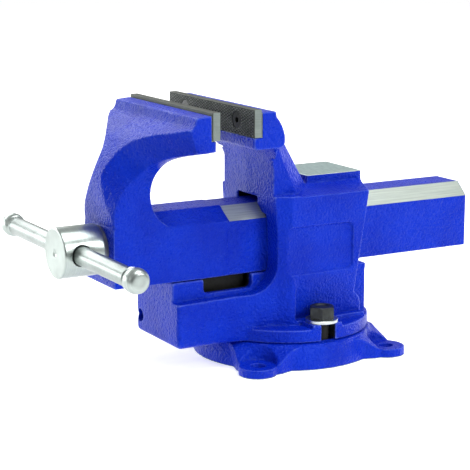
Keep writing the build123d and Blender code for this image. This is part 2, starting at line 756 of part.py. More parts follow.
def make_lock(side, name):
    """One lock bolt with its washer and tee nut, at +Y or -Y of the swivel axis."""
    y = side * BOLT_R
    seat_z = BOLT_PAD_TOP + WASHER_THICK
    with BuildPart() as bolt:
        with BuildSketch(Plane.XY.offset(seat_z)):
            with Locations((0, y)):
                RegularPolygon(HEX_AF / 2, 6, major_radius=False)
        extrude(amount=HEX_HEIGHT)
        # rounded crown: the hexagon's corners are turned off by a cone
        with Locations((0, y, seat_z)):
            Cone(
                HEX_AF / 2 + 1.4 + HEX_HEIGHT / 0.6,
                HEX_AF / 2 - 0.4,
                HEX_HEIGHT + 0.01,
                align=(Align.CENTER, Align.CENTER, Align.MIN),
                mode=Mode.INTERSECT,
            )
        with Locations((0, y, seat_z + HEX_HEIGHT)):
            Cone(4.5, 6.0, 0.9, align=(Align.CENTER, Align.CENTER, Align.MAX), mode=Mode.SUBTRACT)
        rod((0, y, 5.2), (0, 0, 1), BOLT_DIA / 2, seat_z - 5.2)
    save(bolt.part, f"lock_bolt_{name}")

    with BuildPart() as washer:
        rod((0, y, BOLT_PAD_TOP), (0, 0, 1), WASHER_DIA / 2, WASHER_THICK)
        chamfer(washer.edges(), length=0.3)
        rod((0, y, BOLT_PAD_TOP), (0, 0, 1), BOLT_DIA / 2 + 0.3, WASHER_THICK, mode=Mode.SUBTRACT)
    save(washer.part, f"lock_washer_{name}")

    with BuildPart() as tee_nut:
        with Locations((0, y, TEE_ROOF)):
            Box(18, 14, 6.5, align=(Align.CENTER, Align.CENTER, Align.MAX))
            Cylinder(LOCK_SLOT / 2 - 0.3, 5, align=(Align.CENTER, Align.CENTER, Align.MIN))
        rod((0, y, 0), (0, 0, 1), BOLT_DIA / 2 + 0.05, 25, mode=Mode.SUBTRACT)
    save(tee_nut.part, f"tee_nut_{name}")


make_swivel_base()
make_stationary_body()
make_moving_jaw()
make_jaw_plate(FIXED_FACE, -1, "rear_jaw_plate")
make_jaw_plate(MOVING_FACE, 1, "front_jaw_plate")
make_jaw_screws(FIXED_FACE, -1, "rear_jaw_screws")
make_jaw_screws(MOVING_FACE, 1, "front_jaw_screws")
make_spindle()
make_thrust_pieces()
make_handle()
make_nut()
make_lock(-1, "near")
make_lock(1, "far")
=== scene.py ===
import math

import bmesh
import bpy
import numpy as np
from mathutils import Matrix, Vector, noise


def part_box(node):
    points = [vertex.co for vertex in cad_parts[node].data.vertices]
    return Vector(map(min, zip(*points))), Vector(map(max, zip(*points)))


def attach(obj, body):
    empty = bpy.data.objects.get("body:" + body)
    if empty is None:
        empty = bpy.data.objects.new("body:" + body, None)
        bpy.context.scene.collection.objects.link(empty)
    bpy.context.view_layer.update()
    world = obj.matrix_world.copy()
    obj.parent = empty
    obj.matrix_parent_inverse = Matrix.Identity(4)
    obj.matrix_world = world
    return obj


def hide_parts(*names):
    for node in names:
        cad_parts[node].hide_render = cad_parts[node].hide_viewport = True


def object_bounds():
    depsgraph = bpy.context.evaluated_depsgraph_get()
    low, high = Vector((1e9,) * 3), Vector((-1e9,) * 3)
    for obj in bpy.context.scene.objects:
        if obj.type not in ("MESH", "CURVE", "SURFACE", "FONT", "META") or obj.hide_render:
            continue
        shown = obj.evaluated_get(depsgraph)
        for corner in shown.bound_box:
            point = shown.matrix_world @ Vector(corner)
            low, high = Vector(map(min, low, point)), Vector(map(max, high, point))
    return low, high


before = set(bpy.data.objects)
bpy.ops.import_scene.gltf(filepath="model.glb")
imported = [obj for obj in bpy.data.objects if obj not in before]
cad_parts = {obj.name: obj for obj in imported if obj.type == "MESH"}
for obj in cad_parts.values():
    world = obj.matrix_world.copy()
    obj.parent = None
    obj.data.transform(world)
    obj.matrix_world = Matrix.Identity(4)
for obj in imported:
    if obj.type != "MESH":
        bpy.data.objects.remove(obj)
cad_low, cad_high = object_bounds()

# ---- Camera, lamps and floor ------------------------------------------------------------------
# A studio table: a long lens a little above the vise, a white sheet under and behind it, two
# large soft lamps behind, one above, one in front and a weak one at each end.

VIEW_AZIMUTH = math.radians(-29.63)
VIEW_ELEVATION = math.radians(11.83)
VIEW_DISTANCE = 1.1953
VIEW_TARGET = (cad_low + cad_high) / 2 + Vector((-0.0182, 0.0084, -0.0083))
LENS_MM = 122.58

view_back = Vector((
    math.sin(VIEW_AZIMUTH) * math.cos(VIEW_ELEVATION),
    -math.cos(VIEW_AZIMUTH) * math.cos(VIEW_ELEVATION),
    math.sin(VIEW_ELEVATION),
))
camera_data = bpy.data.cameras.new("camera")
camera_data.lens = LENS_MM
camera_data.sensor_width = 36.0
camera_data.clip_start = 0.05
camera_data.clip_end = 60.0
camera = bpy.data.objects.new("camera", camera_data)
camera.location = VIEW_TARGET + view_back * VIEW_DISTANCE
camera.rotation_mode = "QUATERNION"
camera.rotation_quaternion = (-view_back).to_track_quat("-Z", "Y")
bpy.context.scene.collection.objects.link(camera)
bpy.context.scene.camera = camera
bpy.context.scene.view_settings.view_transform = "Standard"

VISE_MIDDLE = (0.0, 0.0, 0.1)
HANDLE_END = (-0.1, 0.0, 0.1)


def soft_lamp(name, place, aim, width, height, watts):
    """A rectangular studio lamp at a place, turned to a point of the vise."""
    data = bpy.data.lights.new(name, "AREA")
    data.shape = "RECTANGLE"
    data.size, data.size_y = width, height
    data.energy = watts
    lamp = bpy.data.objects.new(name, data)
    lamp.location = place
    lamp.rotation_mode = "QUATERNION"
    lamp.rotation_quaternion = (Vector(aim) - Vector(place)).to_track_quat("-Z", "Y")
    bpy.context.scene.collection.objects.link(lamp)


soft_lamp("lamp_left", (-1.35, 1.75, 0.30), (-0.05, 0.0, 0.1), 1.6, 0.55, 16.0)
soft_lamp("lamp_behind", (-0.35, 1.95, 1.15), HANDLE_END, 1.9, 0.6, 20.0)
soft_lamp("lamp_handle_side", (-2.1, -0.35, 0.9), HANDLE_END, 1.0, 0.9, 3.0)
soft_lamp("lamp_right", (2.1, 0.55, 0.35), VISE_MIDDLE, 0.9, 0.6, 9.0)
soft_lamp("lamp_above", (0.25, -0.35, 1.8), VISE_MIDDLE, 1.4, 1.0, 24.0)
soft_lamp("lamp_front", (0.9, -2.0, 1.3), VISE_MIDDLE, 0.9, 0.9, 36.0)

world = bpy.data.worlds.new("studio")
bpy.context.scene.world = world
world.use_nodes = True
backdrop = world.node_tree.nodes["Background"]
backdrop.inputs["Strength"].default_value = 0.62


class Shade:
    """One socket of a material's nodes. Arithmetic on it adds Math nodes."""

    def __init__(self, tree, socket):
        self.tree = tree
        self.socket = socket

    def node(self, kind, settings=None, inputs=None, output=0):
        """Adds a node: its settings first, then the values or links of its sockets."""
        made = self.tree.nodes.new(kind)
        for key, value in (settings or {}).items():
            setattr(made, key, value)
        for key, value in (inputs or {}).items():
            if isinstance(value, Shade):
                self.tree.links.new(value.socket, made.inputs[key])
            else:
                made.inputs[key].default_value = value
        return Shade(self.tree, made.outputs[output])

    def maths(self, operation, *values):
        return self.node("ShaderNodeMath", {"operation": operation}, dict(enumerate(values)))

    def __add__(self, other):
        return self.maths("ADD", self, other)

    def __radd__(self, other):
        return self.maths("ADD", other, self)

    def __sub__(self, other):
        return self.maths("SUBTRACT", self, other)

    def __rsub__(self, other):
        return self.maths("SUBTRACT", other, self)

    def __mul__(self, other):
        return self.maths("MULTIPLY", self, other)

    def __rmul__(self, other):
        return self.maths("MULTIPLY", other, self)

    def __abs__(self):
        return self.maths("ABSOLUTE", self)

    def step(self, low, high):
        """0 below low, 1 above high, smooth between; low may be above high."""
        ends = {"Value": self, "From Min": low, "From Max": high}
        return self.node("ShaderNodeMapRange", {"interpolation_type": "SMOOTHSTEP"}, ends)

    def axes(self):
        """The three numbers of a vector."""
        split = self.node("ShaderNodeSeparateXYZ", None, {0: self}).socket.node
        return [Shade(self.tree, out) for out in split.outputs]

    def stretched(self, *factors):
        """A vector with each of its numbers multiplied by a factor."""
        return self.node("ShaderNodeVectorMath", {"operation": "MULTIPLY"}, {0: self, 1: factors})

    def grain(self, scale, detail=2.0, roughness=0.5):
        """Cloudy noise from 0 to 1, read at a vector."""
        inputs = {"Vector": self, "Scale": scale, "Detail": detail, "Roughness": roughness}
        return self.node("ShaderNodeTexNoise", None, inputs)

    def mix(self, first, second):
        """Colours mixed by this share of the second."""
        inputs = {0: self}
        for key, colour in ((6, first), (7, second)):
            inputs[key] = colour if isinstance(colour, Shade) else (*colour, 1.0)
        return self.node("ShaderNodeMix", {"data_type": "RGBA"}, inputs, output=2)

    def bump(self, height_mm):
        """A Bump node that raises this 0-1 height by some millimetres."""
        inputs = {"Strength": 1.0, "Distance": height_mm / 1000, "Height": self}
        return self.node("ShaderNodeBump", None, inputs)


# the studio is white behind and above, and grey in front
WHITE = (1.0, 1.0, 1.0)
studio_directions = world.node_tree.nodes.new("ShaderNodeTexCoord").outputs["Generated"]
across, away, up = Shade(world.node_tree, studio_directions).axes()
glow = away.step(-0.35, 0.55) * 0.75 + up.step(0.15, 0.8) * 0.35 + across.step(0.2, -0.7) * 0.2
studio_tone = glow.mix((0.30, 0.30, 0.31), WHITE)
world.node_tree.links.new(studio_tone.socket, backdrop.inputs["Color"])


def new_finish(name):
    """A material and its object coordinates, in metres of the shared frame."""
    finish = bpy.data.materials.new(name)
    finish.use_nodes = True
    tree = finish.node_tree
    tree.nodes.clear()
    coordinates = tree.nodes.new("ShaderNodeTexCoord")
    return finish, Shade(tree, coordinates.outputs["Object"])


def lay_on(place, **sockets):
    """Ends a material: one Principled shader with these sockets, and the output."""
    names = {"specular_ior_level": "Specular IOR Level"}
    inputs = {}
    for key, value in sockets.items():
        inputs[names.get(key, key.replace("_", " ").title())] = value
    surface = place.node("ShaderNodeBsdfPrincipled", None, inputs)
    output = place.tree.nodes.new("ShaderNodeOutputMaterial")
    place.tree.links.new(surface.socket, output.inputs["Surface"])


FLOOR_HALF = 9.0
FLOOR_Z = -0.0002  # a hair below the sole
floor_mesh = bpy.data.meshes.new("floor")
corners = ((-1, -1), (1, -1), (1, 1), (-1, 1))
floor_mesh.from_pydata(
    [(x * FLOOR_HALF, y * FLOOR_HALF, FLOOR_Z) for x, y in corners], [], [(0, 1, 2, 3)])
floor = bpy.data.objects.new("floor", floor_mesh)
bpy.context.scene.collection.objects.link(floor)
paper, paper_place = new_finish("white_paper")
paper_x, paper_y, _ = paper_place.axes()
FRONT_WAY = (-0.494, -0.869)  # towards the front of the table, where grey card follows the sheet
front_end = (paper_x * FRONT_WAY[0] + paper_y * FRONT_WAY[1]).step(0.31, 0.62)
paper_tone = (paper_place.grain(3.0) * 0.2).mix((0.9, 0.9, 0.9), (0.86, 0.86, 0.86))
lay_on(paper_place,
       base_color=front_end.mix(paper_tone, (0.50, 0.50, 0.51)),
       roughness=0.9, specular_ior_level=0.1,
       emission_color=front_end.mix(WHITE, (0.35, 0.35, 0.36)), emission_strength=0.55)
floor_mesh.materials.append(paper)


# ---- Swivel base ------------------------------------------------------------------------------
# The round foot with four bolt ears: grey iron poured in a sand mould, fettled and enamelled
# blue all over, its sole and the ring under the body turned flat.

ENAMEL_BLUE = (0.0016, 0.022, 0.46)
ENAMEL_DEEP = (0.0012, 0.013, 0.36)
ENAMEL_EDGE_HIGHLIGHT = (0.12, 0.18, 0.60)  # painted highlight: a lighter blue on sharp edges, for the gloss they catch
# painted shade: the darker blue laid into concave creases
ENAMEL_CREASE_SHADE = (0.0008, 0.006, 0.20)
# bare iron, made near-black: partly its own colour, partly painted shade for the hollows it lines
RAW_IRON_IN_SHADE = (0.012, 0.012, 0.012)
RAW_IRON_IN_SHADE_DARK = (0.006, 0.006, 0.006)
MILLED_STEEL = (0.50, 0.56, 0.50)
MILLED_DARK = (0.34, 0.38, 0.35)
ENAMEL_TINT = (0.46, 0.80, 0.98, 1.0)  # colour of its gloss


def enamel(name, milled, bare_and_shade, lines):
    """Glossy blue enamel over a sand casting. The milled and bare masks give, from the coordinates,
    the shares of machined metal and of bare casting, painted near-black as the shade in the hollows
    it lines; lines stretches the tool marks."""
    finish, place = new_finish(name)
    skin = place.grain(560.0, 2.0, 0.5)
    pits = place.grain(1500.0, 2.0)
    swell = place.grain(110.0, 2.0)
    shade = place.grain(26.0, 3.0)
    bend = place.node("ShaderNodeNewGeometry", output="Pointiness")
    metal = milled(place)
    bare_shade_share = bare_and_shade(place)
    # painted highlight: convex edges, found by pointiness, take the lighter edge blue
    crest = bend.step(0.515, 0.555) * (0.35 + 0.5 * skin)
    # painted shade: concave creases, found by pointiness, take the darker crease blue
    crease = bend.step(0.488, 0.455) * 0.7
    paint = shade.step(0.3, 0.75).mix(ENAMEL_BLUE, ENAMEL_DEEP)
    paint = crease.mix(crest.mix(paint, ENAMEL_EDGE_HIGHLIGHT), ENAMEL_CREASE_SHADE)
    iron_in_shade = swell.mix(RAW_IRON_IN_SHADE, RAW_IRON_IN_SHADE_DARK)
    tracks = place.stretched(*lines).grain(1.0, 3.0, 0.6)
    steel = tracks.step(0.25, 0.75).mix(MILLED_STEEL, MILLED_DARK)
    colour = metal.mix(bare_shade_share.mix(paint, iron_in_shade), steel)
    gloss = 0.20 + 0.12 * skin + 0.06 * shade
    rough = gloss * (1 - metal) * (1 - bare_shade_share) + bare_shade_share * 0.75 + metal * (0.24 + 0.22 * tracks)
    cast_height = skin * 0.9 + pits * 0.05 + swell * 0.6
    height = cast_height * (1 - metal) + tracks * metal * 0.10
    lay_on(place, base_color=colour, metallic=metal * 0.6, roughness=rough,
           specular_ior_level=0.16, specular_tint=ENAMEL_TINT, normal=height.bump(1.5))
    return finish


SMOOTHING = 0.6  # share of the way to the neighbours' middle that a point moves in a pass


def cast_piece(node, name, voxel_mm, passes, keep):
    """The casting's CAD shape with the rounded corners and slightly wavy skin of a sand mould.
    keep gives, from places and normals, how far each point holds its machined shape."""
    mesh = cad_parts[node].data.copy()
    piece = bpy.data.objects.new(name, mesh)
    bpy.context.scene.collection.objects.link(piece)
    remesh = piece.modifiers.new("skin", "REMESH")
    remesh.mode = "VOXEL"
    remesh.voxel_size = voxel_mm / 1000
    depsgraph = bpy.context.evaluated_depsgraph_get()
    skin = bpy.data.meshes.new_from_object(piece.evaluated_get(depsgraph))
    piece.modifiers.clear()
    piece.data = skin
    skin.materials.clear()

    count = len(skin.vertices)
    places = np.empty(count * 3)
    skin.vertices.foreach_get("co", places)
    places = places.reshape(-1, 3)
    normals = np.empty(count * 3)
    skin.vertex_normals.foreach_get("vector", normals)
    normals = normals.reshape(-1, 3)
    ends = np.empty(len(skin.edges) * 2, dtype=np.int64)
    skin.edges.foreach_get("vertices", ends)
    near, far = ends.reshape(-1, 2).T
    degree = np.bincount(near, minlength=count) + np.bincount(far, minlength=count)

    loose = (1.0 - keep(places, normals))[:, None]
    rounded = places.copy()
    for _ in range(passes):
        middle = np.empty_like(rounded)
        for axis in range(3):
            middle[:, axis] = (np.bincount(near, rounded[far, axis], count)
                               + np.bincount(far, rounded[near, axis], count)) / degree
        rounded += SMOOTHING * loose * (middle - rounded)

    # the skin of the mould: shallow waves and grains, only inwards
    for index in range(count):
        if loose[index, 0] > 0.05:
            point = Vector(rounded[index])
            depth = 0.06 * noise.noise(point * 90) + 0.045 * noise.noise(point * 260) - 0.06
            rounded[index] += normals[index] * (loose[index, 0] * depth / 1000)
    skin.vertices.foreach_set("co", rounded.ravel())
    skin.polygons.foreach_set("use_smooth", np.ones(len(skin.polygons), dtype=bool))
    skin.update()
    return piece


SOLE_SKIN = 0.0006
RING_Z = 0.0178
RING_R = 0.0625
UNDERSIDE_R = 0.0390  # of the hollow under the base


def keep_base(places, normals):
    """The turned sole and the turned ring under the body stay flat."""
    x, y, z = places.T
    ring = (z > RING_Z) & (np.hypot(x, y) < RING_R)
    return ((z < 0.0008) | ring).astype(float)


def base_milled(place):
    """The sole is turned."""
    return place.axes()[2].step(SOLE_SKIN, SOLE_SKIN / 2)


def base_raw(place):
    """The hollow underside isn't painted."""
    flat = place.stretched(1, 1, 0)
    radius = flat.node("ShaderNodeVectorMath", {"operation": "LENGTH"}, {0: flat}, output=1)
    hollow = radius.step(UNDERSIDE_R + 0.0005, UNDERSIDE_R - 0.0005)
    return hollow * place.axes()[2].step(SOLE_SKIN, 2 * SOLE_SKIN)


base = cast_piece("swivel_base", "base_casting", 0.65, 5, keep_base)
base.data.materials.append(enamel("base_enamel", base_milled, base_raw, (900, 30, 30)))
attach(base, "base")
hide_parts("swivel_base")


# ---- Stationary body --------------------------------------------------------------------------
# Swivel flange, pedestal, slide housing, anvil and fixed jaw, one iron casting. Only the anvil
# face, the seat of the jaw plate and the passage of the slide are machined.

ANVIL_Z = 0.1346
ANVIL_X = 0.0042
SEAT_X = -0.0568  # the fixed jaw plate stands against this, on the shelf
SHELF_Z = 0.1717
SLOT_HALF = 0.0060
LOCK_SEAT = 0.0315  # top of the pads under the lock bolts


def keep_body(places, normals):
    """The anvil face, the plate's seat, the passage of the slide and the heel behind it hold
    their shape."""
    x, y, z = places.T
    anvil = (z > ANVIL_Z - 0.0005) & (x > ANVIL_X - 0.0002)
    seat = (x < -0.0555) & (z > 0.1715) & (abs(normals[:, 0]) > 0.8)
    passage = (abs(y) < 0.0250) & (z > 0.0655) & (z < 0.1180) & (x > -0.12)
    heel = (x > 0.0465) & (z > 0.0625) & (z < 0.0670)
    return np.where(anvil | seat | heel, 1.0, np.where(passage, 0.7, 0.0))


def body_milled(place):
    """The anvil face and the seat of the plate are milled."""
    x, _, z = place.axes()
    anvil = z.step(ANVIL_Z - 0.0006, ANVIL_Z - 0.0003) * x.step(ANVIL_X, ANVIL_X + 0.0004)
    seat = x.step(SEAT_X + 0.0002, SEAT_X - 0.0002) * z.step(SHELF_Z, SHELF_Z + 0.0003)
    return anvil + seat


def body_bare_and_shade(place):
    """Bare iron, painted near-black as the shade inside: the passage of the slide and the cavity of
    the nut; the lock bolts' slots, wholly painted shade.
    """
    x, y, z = place.axes()
    side = abs(y)
    passage = side.step(0.0253, 0.0249) * x.step(-0.0318, -0.0308)
    passage = passage * z.step(0.0655, 0.0668) * z.step(0.1222, 0.1214)
    cavity = side.step(0.0225, 0.0205) * x.step(-0.1075, -0.1060)
    cavity = cavity * z.step(0.0300, 0.0330) * z.step(0.0668, 0.0655)
    # painted shade: the walls of the lock bolts' slots are made bare-iron black
    slot_shade = abs(x).step(SLOT_HALF + 0.0002, SLOT_HALF - 0.0002) * side.step(0.0470, 0.0475)
    slot_shade = slot_shade * z.step(LOCK_SEAT - 0.0005, LOCK_SEAT - 0.0012)
    return (passage + cavity * (1 - passage)) * (1 - slot_shade) + slot_shade


body = cast_piece("stationary_body", "body_casting", 0.7, 4, keep_body)
body.data.materials.append(enamel("body_enamel", body_milled, body_bare_and_shade, (700, 120, 60)))
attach(body, "body")
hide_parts("stationary_body")


# ---- Moving jaw -------------------------------------------------------------------------------
# Slide beam, front boss, C-shaped arm and jaw head, one iron casting, enamelled. The two bevels
# along the top of the beam are milled bright; they carry the jaw in the body.

BEVEL_START = -0.0630
BEVEL_LOW = 0.1066
BEVEL_IN = 0.0132  # half width of the beam's top, between the bevels
BEVEL_SLANT = 0.2  # how much further along X the milling starts, for each metre outwards
BEAM_END = 0.1508
SPINDLE_Z = 0.0922


def keep_jaw(places, normals):
    """The milled bevels, the plate's seat and the faces of the bore hold their shape."""
    x, y, z = places.T
    bevel = (x > BEVEL_START) & (z > BEVEL_LOW - 0.0004) & (z < 0.1170)
    bevel = bevel & (abs(y) > BEVEL_IN - 0.0005)
    seat = (x > -0.0975) & (z > 0.1715) & (abs(normals[:, 0]) > 0.8)
    boss = (x < -0.1522) & (np.hypot(y, z - SPINDLE_Z) < 0.0190)
    return np.where(bevel, 0.9, np.where(seat | boss, 1.0, 0.0))


def jaw_milled(place):
    """The two bevels and the seat of the plate are milled."""
    x, y, z = place.axes()
    side = abs(y)
    start = x - (side - BEVEL_IN) * BEVEL_SLANT
    bevel = start.step(BEVEL_START - 0.0002, BEVEL_START + 0.0002)
    bevel = bevel * z.step(BEVEL_LOW - 0.0002, BEVEL_LOW + 0.0001) * z.step(0.1175, 0.1172)
    bevel = bevel * side.step(BEVEL_IN - 0.0002, BEVEL_IN + 0.0001)
    seat = x.step(-0.0970, -0.0966) * z.step(SHELF_Z, SHELF_Z + 0.0003)
    return bevel * x.step(BEAM_END + 0.0003, BEAM_END) + seat


def jaw_bare_and_shade(place):
    """The channel under the beam is bare iron, painted near-black as the shade inside it."""
    x, y, z = place.axes()
    return abs(y).step(0.0166, 0.0161) * z.step(0.1088, 0.1082) * x.step(-0.1415, -0.1400)


jaw = cast_piece("moving_jaw", "jaw_casting", 0.7, 4, keep_jaw)
jaw.data.materials.append(enamel("jaw_enamel", jaw_milled, jaw_bare_and_shade, (25, 1500, 1500)))
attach(jaw, "jaw")
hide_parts("moving_jaw")


# ---- Jaw plates -------------------------------------------------------------------------------
# Two hardened steel bars, ground on their backs, ends and tops. Their grip faces are cut with
# fine crossed serrations and countersunk for two screws each.

SERRATION_UP = 0.0021  # pitch of the crossed grooves up the face, and along it
SERRATION_ALONG = 0.0044
SERRATION_DEPTH = 0.0005
GRIP_CELL = 0.00055  # size of a grip face's mesh squares
GRIP_SKIN = 0.00002
GRIP_MIDDLE = -0.0767  # halfway between the two grip faces
GRIP_HALF = 0.0130
PLATE_EDGE = 0.00035
SCREW_Y = 0.0385
SCREW_Z = 0.182
SINK_R = 0.0063
SINK_HOLE_R = 0.0032


def grey_steel(name, tint, dark, rough, lines, wear=0.1):
    """Bare machined steel. lines stretches its tool marks; wear is how much its gloss varies."""
    finish, place = new_finish(name)
    marks = place.stretched(*lines).grain(1.0, 3.0, 0.65)
    cloud = place.grain(70.0, 3.0)
    specks = place.grain(900.0, 2.0)
    colour = (marks * 0.6 + cloud * 0.5).step(0.25, 0.85).mix(dark, tint)
    lay_on(place, base_color=colour, metallic=1.0,
           roughness=rough + wear * marks + wear * cloud,
           normal=(marks + specks * 0.3).bump(0.02))
    return finish


def serrated_steel(name):
    """Hardened steel, rubbed light on the peaks of the serrations, with painted shade, near-black,
    in the grooves between them.
    """
    finish, place = new_finish(name)
    depth = abs(place.axes()[0] - GRIP_MIDDLE) - GRIP_HALF
    # painted shade: the deeper a point lies in a groove, the darker
    groove_shade = depth.step(0.00008, SERRATION_DEPTH * 0.8)
    cloud = place.grain(120.0, 3.0)
    specks = place.grain(900.0, 2.0)
    steel = cloud.step(0.3, 0.75).mix((0.11, 0.125, 0.12), (0.06, 0.07, 0.067))
    lay_on(place, base_color=groove_shade.mix(steel, (0.018, 0.021, 0.020)), metallic=0.8,
           roughness=0.36 + 0.2 * cloud, normal=specks.bump(0.03))
    return finish


def groove(turns):
    """Depth from 0 to 1 of a V groove at each whole turn, with flat lands between."""
    return max(0.0, (abs(2 * (turns % 1.0) - 1) - 0.35) / 0.65)


def grip_depth(y, z):
    """How far a point of a grip face lies behind its peaks: crossed grooves and countersinks."""
    sink = SINK_R - math.hypot(abs(y) - SCREW_Y, z - SCREW_Z)
    if sink > 0:
        return min(sink, SINK_R - SINK_HOLE_R) + SERRATION_DEPTH * 0.5
    up, along = z / SERRATION_UP, y / SERRATION_ALONG
    return SERRATION_DEPTH * max(groove(up + along), groove(up - along))


def jaw_plate(node, body_name, face_x, facing):
    """One plate: a serrated grip face, chamfered edges and plain sides. facing is the way that
    the grip face looks along X."""
    low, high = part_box(node)
    columns = round((high.y - low.y - 2 * PLATE_EDGE) / GRIP_CELL)
    rows = round((high.z - low.z - 2 * PLATE_EDGE) / GRIP_CELL)
    points, faces = [], []
    for i in range(columns + 1):
        y = low.y + PLATE_EDGE + (high.y - low.y - 2 * PLATE_EDGE) * i / columns
        for j in range(rows + 1):
            z = low.z + PLATE_EDGE + (high.z - low.z - 2 * PLATE_EDGE) * j / rows
            on_rim = i in (0, columns) or j in (0, rows)
            depth = SERRATION_DEPTH * 0.5 if on_rim else grip_depth(y, z)
            points.append((face_x - facing * (depth + GRIP_SKIN), y, z))
    stride = rows + 1
    for i in range(columns):
        for j in range(rows):
            a, b = i * stride + j, (i + 1) * stride + j
            c, d = b + 1, a + 1
            faces += [(a, b, c), (a, c, d)] if (i + j) % 2 else [(a, b, d), (b, c, d)]
    rim = [i * stride for i in range(columns + 1)]
    rim += [columns * stride + j for j in range(1, rows + 1)]
    rim += [i * stride + rows for i in range(columns - 1, -1, -1)]
    rim += [j for j in range(rows - 1, 0, -1)]
    thick = high.x - low.x
    loops = [rim]
    front = SERRATION_DEPTH * 0.5 + PLATE_EDGE
    for depth, inset in ((front, 0.0), (thick - PLATE_EDGE, 0.0), (thick, PLATE_EDGE)):
        loop = []
        for index in rim:
            y, z = points[index][1:]
            y += math.copysign(PLATE_EDGE - inset, y) if index // stride in (0, columns) else 0.0
            if index % stride in (0, rows):
                z += (PLATE_EDGE - inset) * (1 if index % stride else -1)
            loop.append(len(points))
            points.append((face_x - facing * depth, y, z))
        loops.append(loop)
    for before, after in zip(loops, loops[1:]):
        for k in range(len(rim)):
            m = (k + 1) % len(rim)
            faces.append((before[k], before[m], after[m], after[k]))
    faces.append(tuple(loops[-1]))
    mesh = bpy.data.meshes.new(node)
    mesh.from_pydata(points, [], faces)
    piece = bpy.data.objects.new(node.replace("jaw_plate", "serrated_plate"), mesh)
    bpy.context.scene.collection.objects.link(piece)
    tidy_normals(mesh)
    for finish in (ground_ends, hard_grip, hard_top):
        mesh.materials.append(finish)
    cells = 2 * columns * rows
    for face in mesh.polygons:
        if face.index < cells:
            face.material_index = 1
        elif abs(face.normal.z) > 0.6 or abs(face.normal.x) > 0.6:
            face.material_index = 2
    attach(piece, body_name)
    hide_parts(node)


def tidy_normals(mesh, smooth_angle=None):
    """Faces turned outwards; smooth except over edges sharper than an angle."""
    mesh.validate()
    work = bmesh.new()
    work.from_mesh(mesh)
    bmesh.ops.recalc_face_normals(work, faces=work.faces)
    work.to_mesh(mesh)
    work.free()
    if smooth_angle is not None:
        mesh.polygons.foreach_set("use_smooth", np.ones(len(mesh.polygons), dtype=bool))
        mesh.set_sharp_from_angle(angle=math.radians(smooth_angle))


ground_ends = grey_steel(
    "ground_plate_steel", (0.25, 0.29, 0.275), (0.15, 0.18, 0.17), 0.34, (60, 60, 2600))
hard_top = grey_steel(
    "hardened_top_steel", (0.12, 0.13, 0.115), (0.06, 0.067, 0.06), 0.5, (60, 2600, 60))
hard_grip = serrated_steel("serrated_steel")
jaw_plate("rear_jaw_plate", "body", GRIP_MIDDLE + GRIP_HALF, -1)
jaw_plate("front_jaw_plate", "jaw", GRIP_MIDDLE - GRIP_HALF, 1)


# ---- Jaw plate screws -------------------------------------------------------------------------
# Four countersunk socket screws, which hold the plates. They are alloy steel, headed and
# thread-rolled, and black from hardening in oil.

BLACK_OXIDE = (0.012, 0.013, 0.014)
BLACK_OXIDE_WORN = (0.05, 0.058, 0.058)
# grease with painted shade: near-black for the shank down in the slot
BLACK_GREASE_AND_SHADE = (0.002, 0.002, 0.002)


def black_steel(name, lines, grease_and_shade_below=0.0):
    """Black oxide, oiled, a little worn to grey; near-black below a height, grease with painted
    shade for the slot that the shank stands in.
    """
    finish, place = new_finish(name)
    clear_of_shade = place.axes()[2].step(grease_and_shade_below - 0.0005, grease_and_shade_below + 0.0005)
    cloud = place.grain(160.0, 3.0)
    marks = place.stretched(*lines).grain(1.0, 2.0)
    oxide = (cloud * 0.6 + marks * 0.5).step(0.3, 0.85).mix(BLACK_OXIDE, BLACK_OXIDE_WORN)
    lay_on(place, base_color=clear_of_shade.mix(BLACK_GREASE_AND_SHADE, oxide), metallic=clear_of_shade * 0.75,
           roughness=0.8 - clear_of_shade * (0.5 - 0.18 * cloud),
           normal=(marks + cloud * 0.5).bump(0.03))
    return finish


def refinish(node, finish, edge_mm=0.0):
    """A CAD node whose shape is right: its finish, and its edges broken by a small bevel."""
    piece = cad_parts[node]
    piece.data.materials.clear()
    piece.data.materials.append(finish)
    if edge_mm:
        bevel = piece.modifiers.new("broken_edges", "BEVEL")
        bevel.width = edge_mm / 1000
        bevel.segments = 2
        bevel.limit_method = "ANGLE"
        bevel.angle_limit = math.radians(40)
        bevel.harden_normals = True


black_screw = black_steel("black_screw", (900, 900, 900))
refinish("rear_jaw_screws", black_screw)
refinish("front_jaw_screws", black_screw)


# ---- Spindle ----------------------------------------------------------------------------------
# A turned steel screw: a polished head with a cross hole for the bar, a plain journal through
# the boss, then a right-hand trapezoidal thread of 5 mm lead.

HEAD_FRONT = -0.1867
HEAD_REAR = -0.1562
HEAD_R = 0.0182
HANDLE_X = -0.17365
CROSS_HOLE_R = 0.0077
THREAD_START = -0.1135
THREAD_END = 0.0950
THREAD_LEAD = 0.005
THREAD_R = 0.011
THREAD_ROOT_R = 0.0083
THREAD_STEPS = 40  # steps round one turn
THREAD_RUNOUT = 0.004


def turned(name, axis, start, profile, around):
    """A turned piece along X or Y: profile points (distance from start, radius)."""
    points, faces = [], []
    for along, radius in profile:
        for k in range(around):
            turn = 2 * math.pi * k / around
            sideways, up = radius * math.cos(turn), radius * math.sin(turn)
            if axis == "X":
                points.append((start[0] + along, start[1] + sideways, start[2] + up))
            else:
                points.append((start[0] + sideways, start[1] + along, start[2] + up))
    for ring in range(len(profile) - 1):
        for k in range(around):
            m = (k + 1) % around
            faces.append((ring * around + k, ring * around + m,
                          (ring + 1) * around + m, (ring + 1) * around + k))
    faces.append(tuple(range(around)))
    faces.append(tuple(range((len(profile) - 1) * around, len(profile) * around)))
    mesh = bpy.data.meshes.new(name)
    mesh.from_pydata(points, [], faces)
    piece = bpy.data.objects.new(name, mesh)
    bpy.context.scene.collection.objects.link(piece)
    tidy_normals(mesh, 30)
    return piece


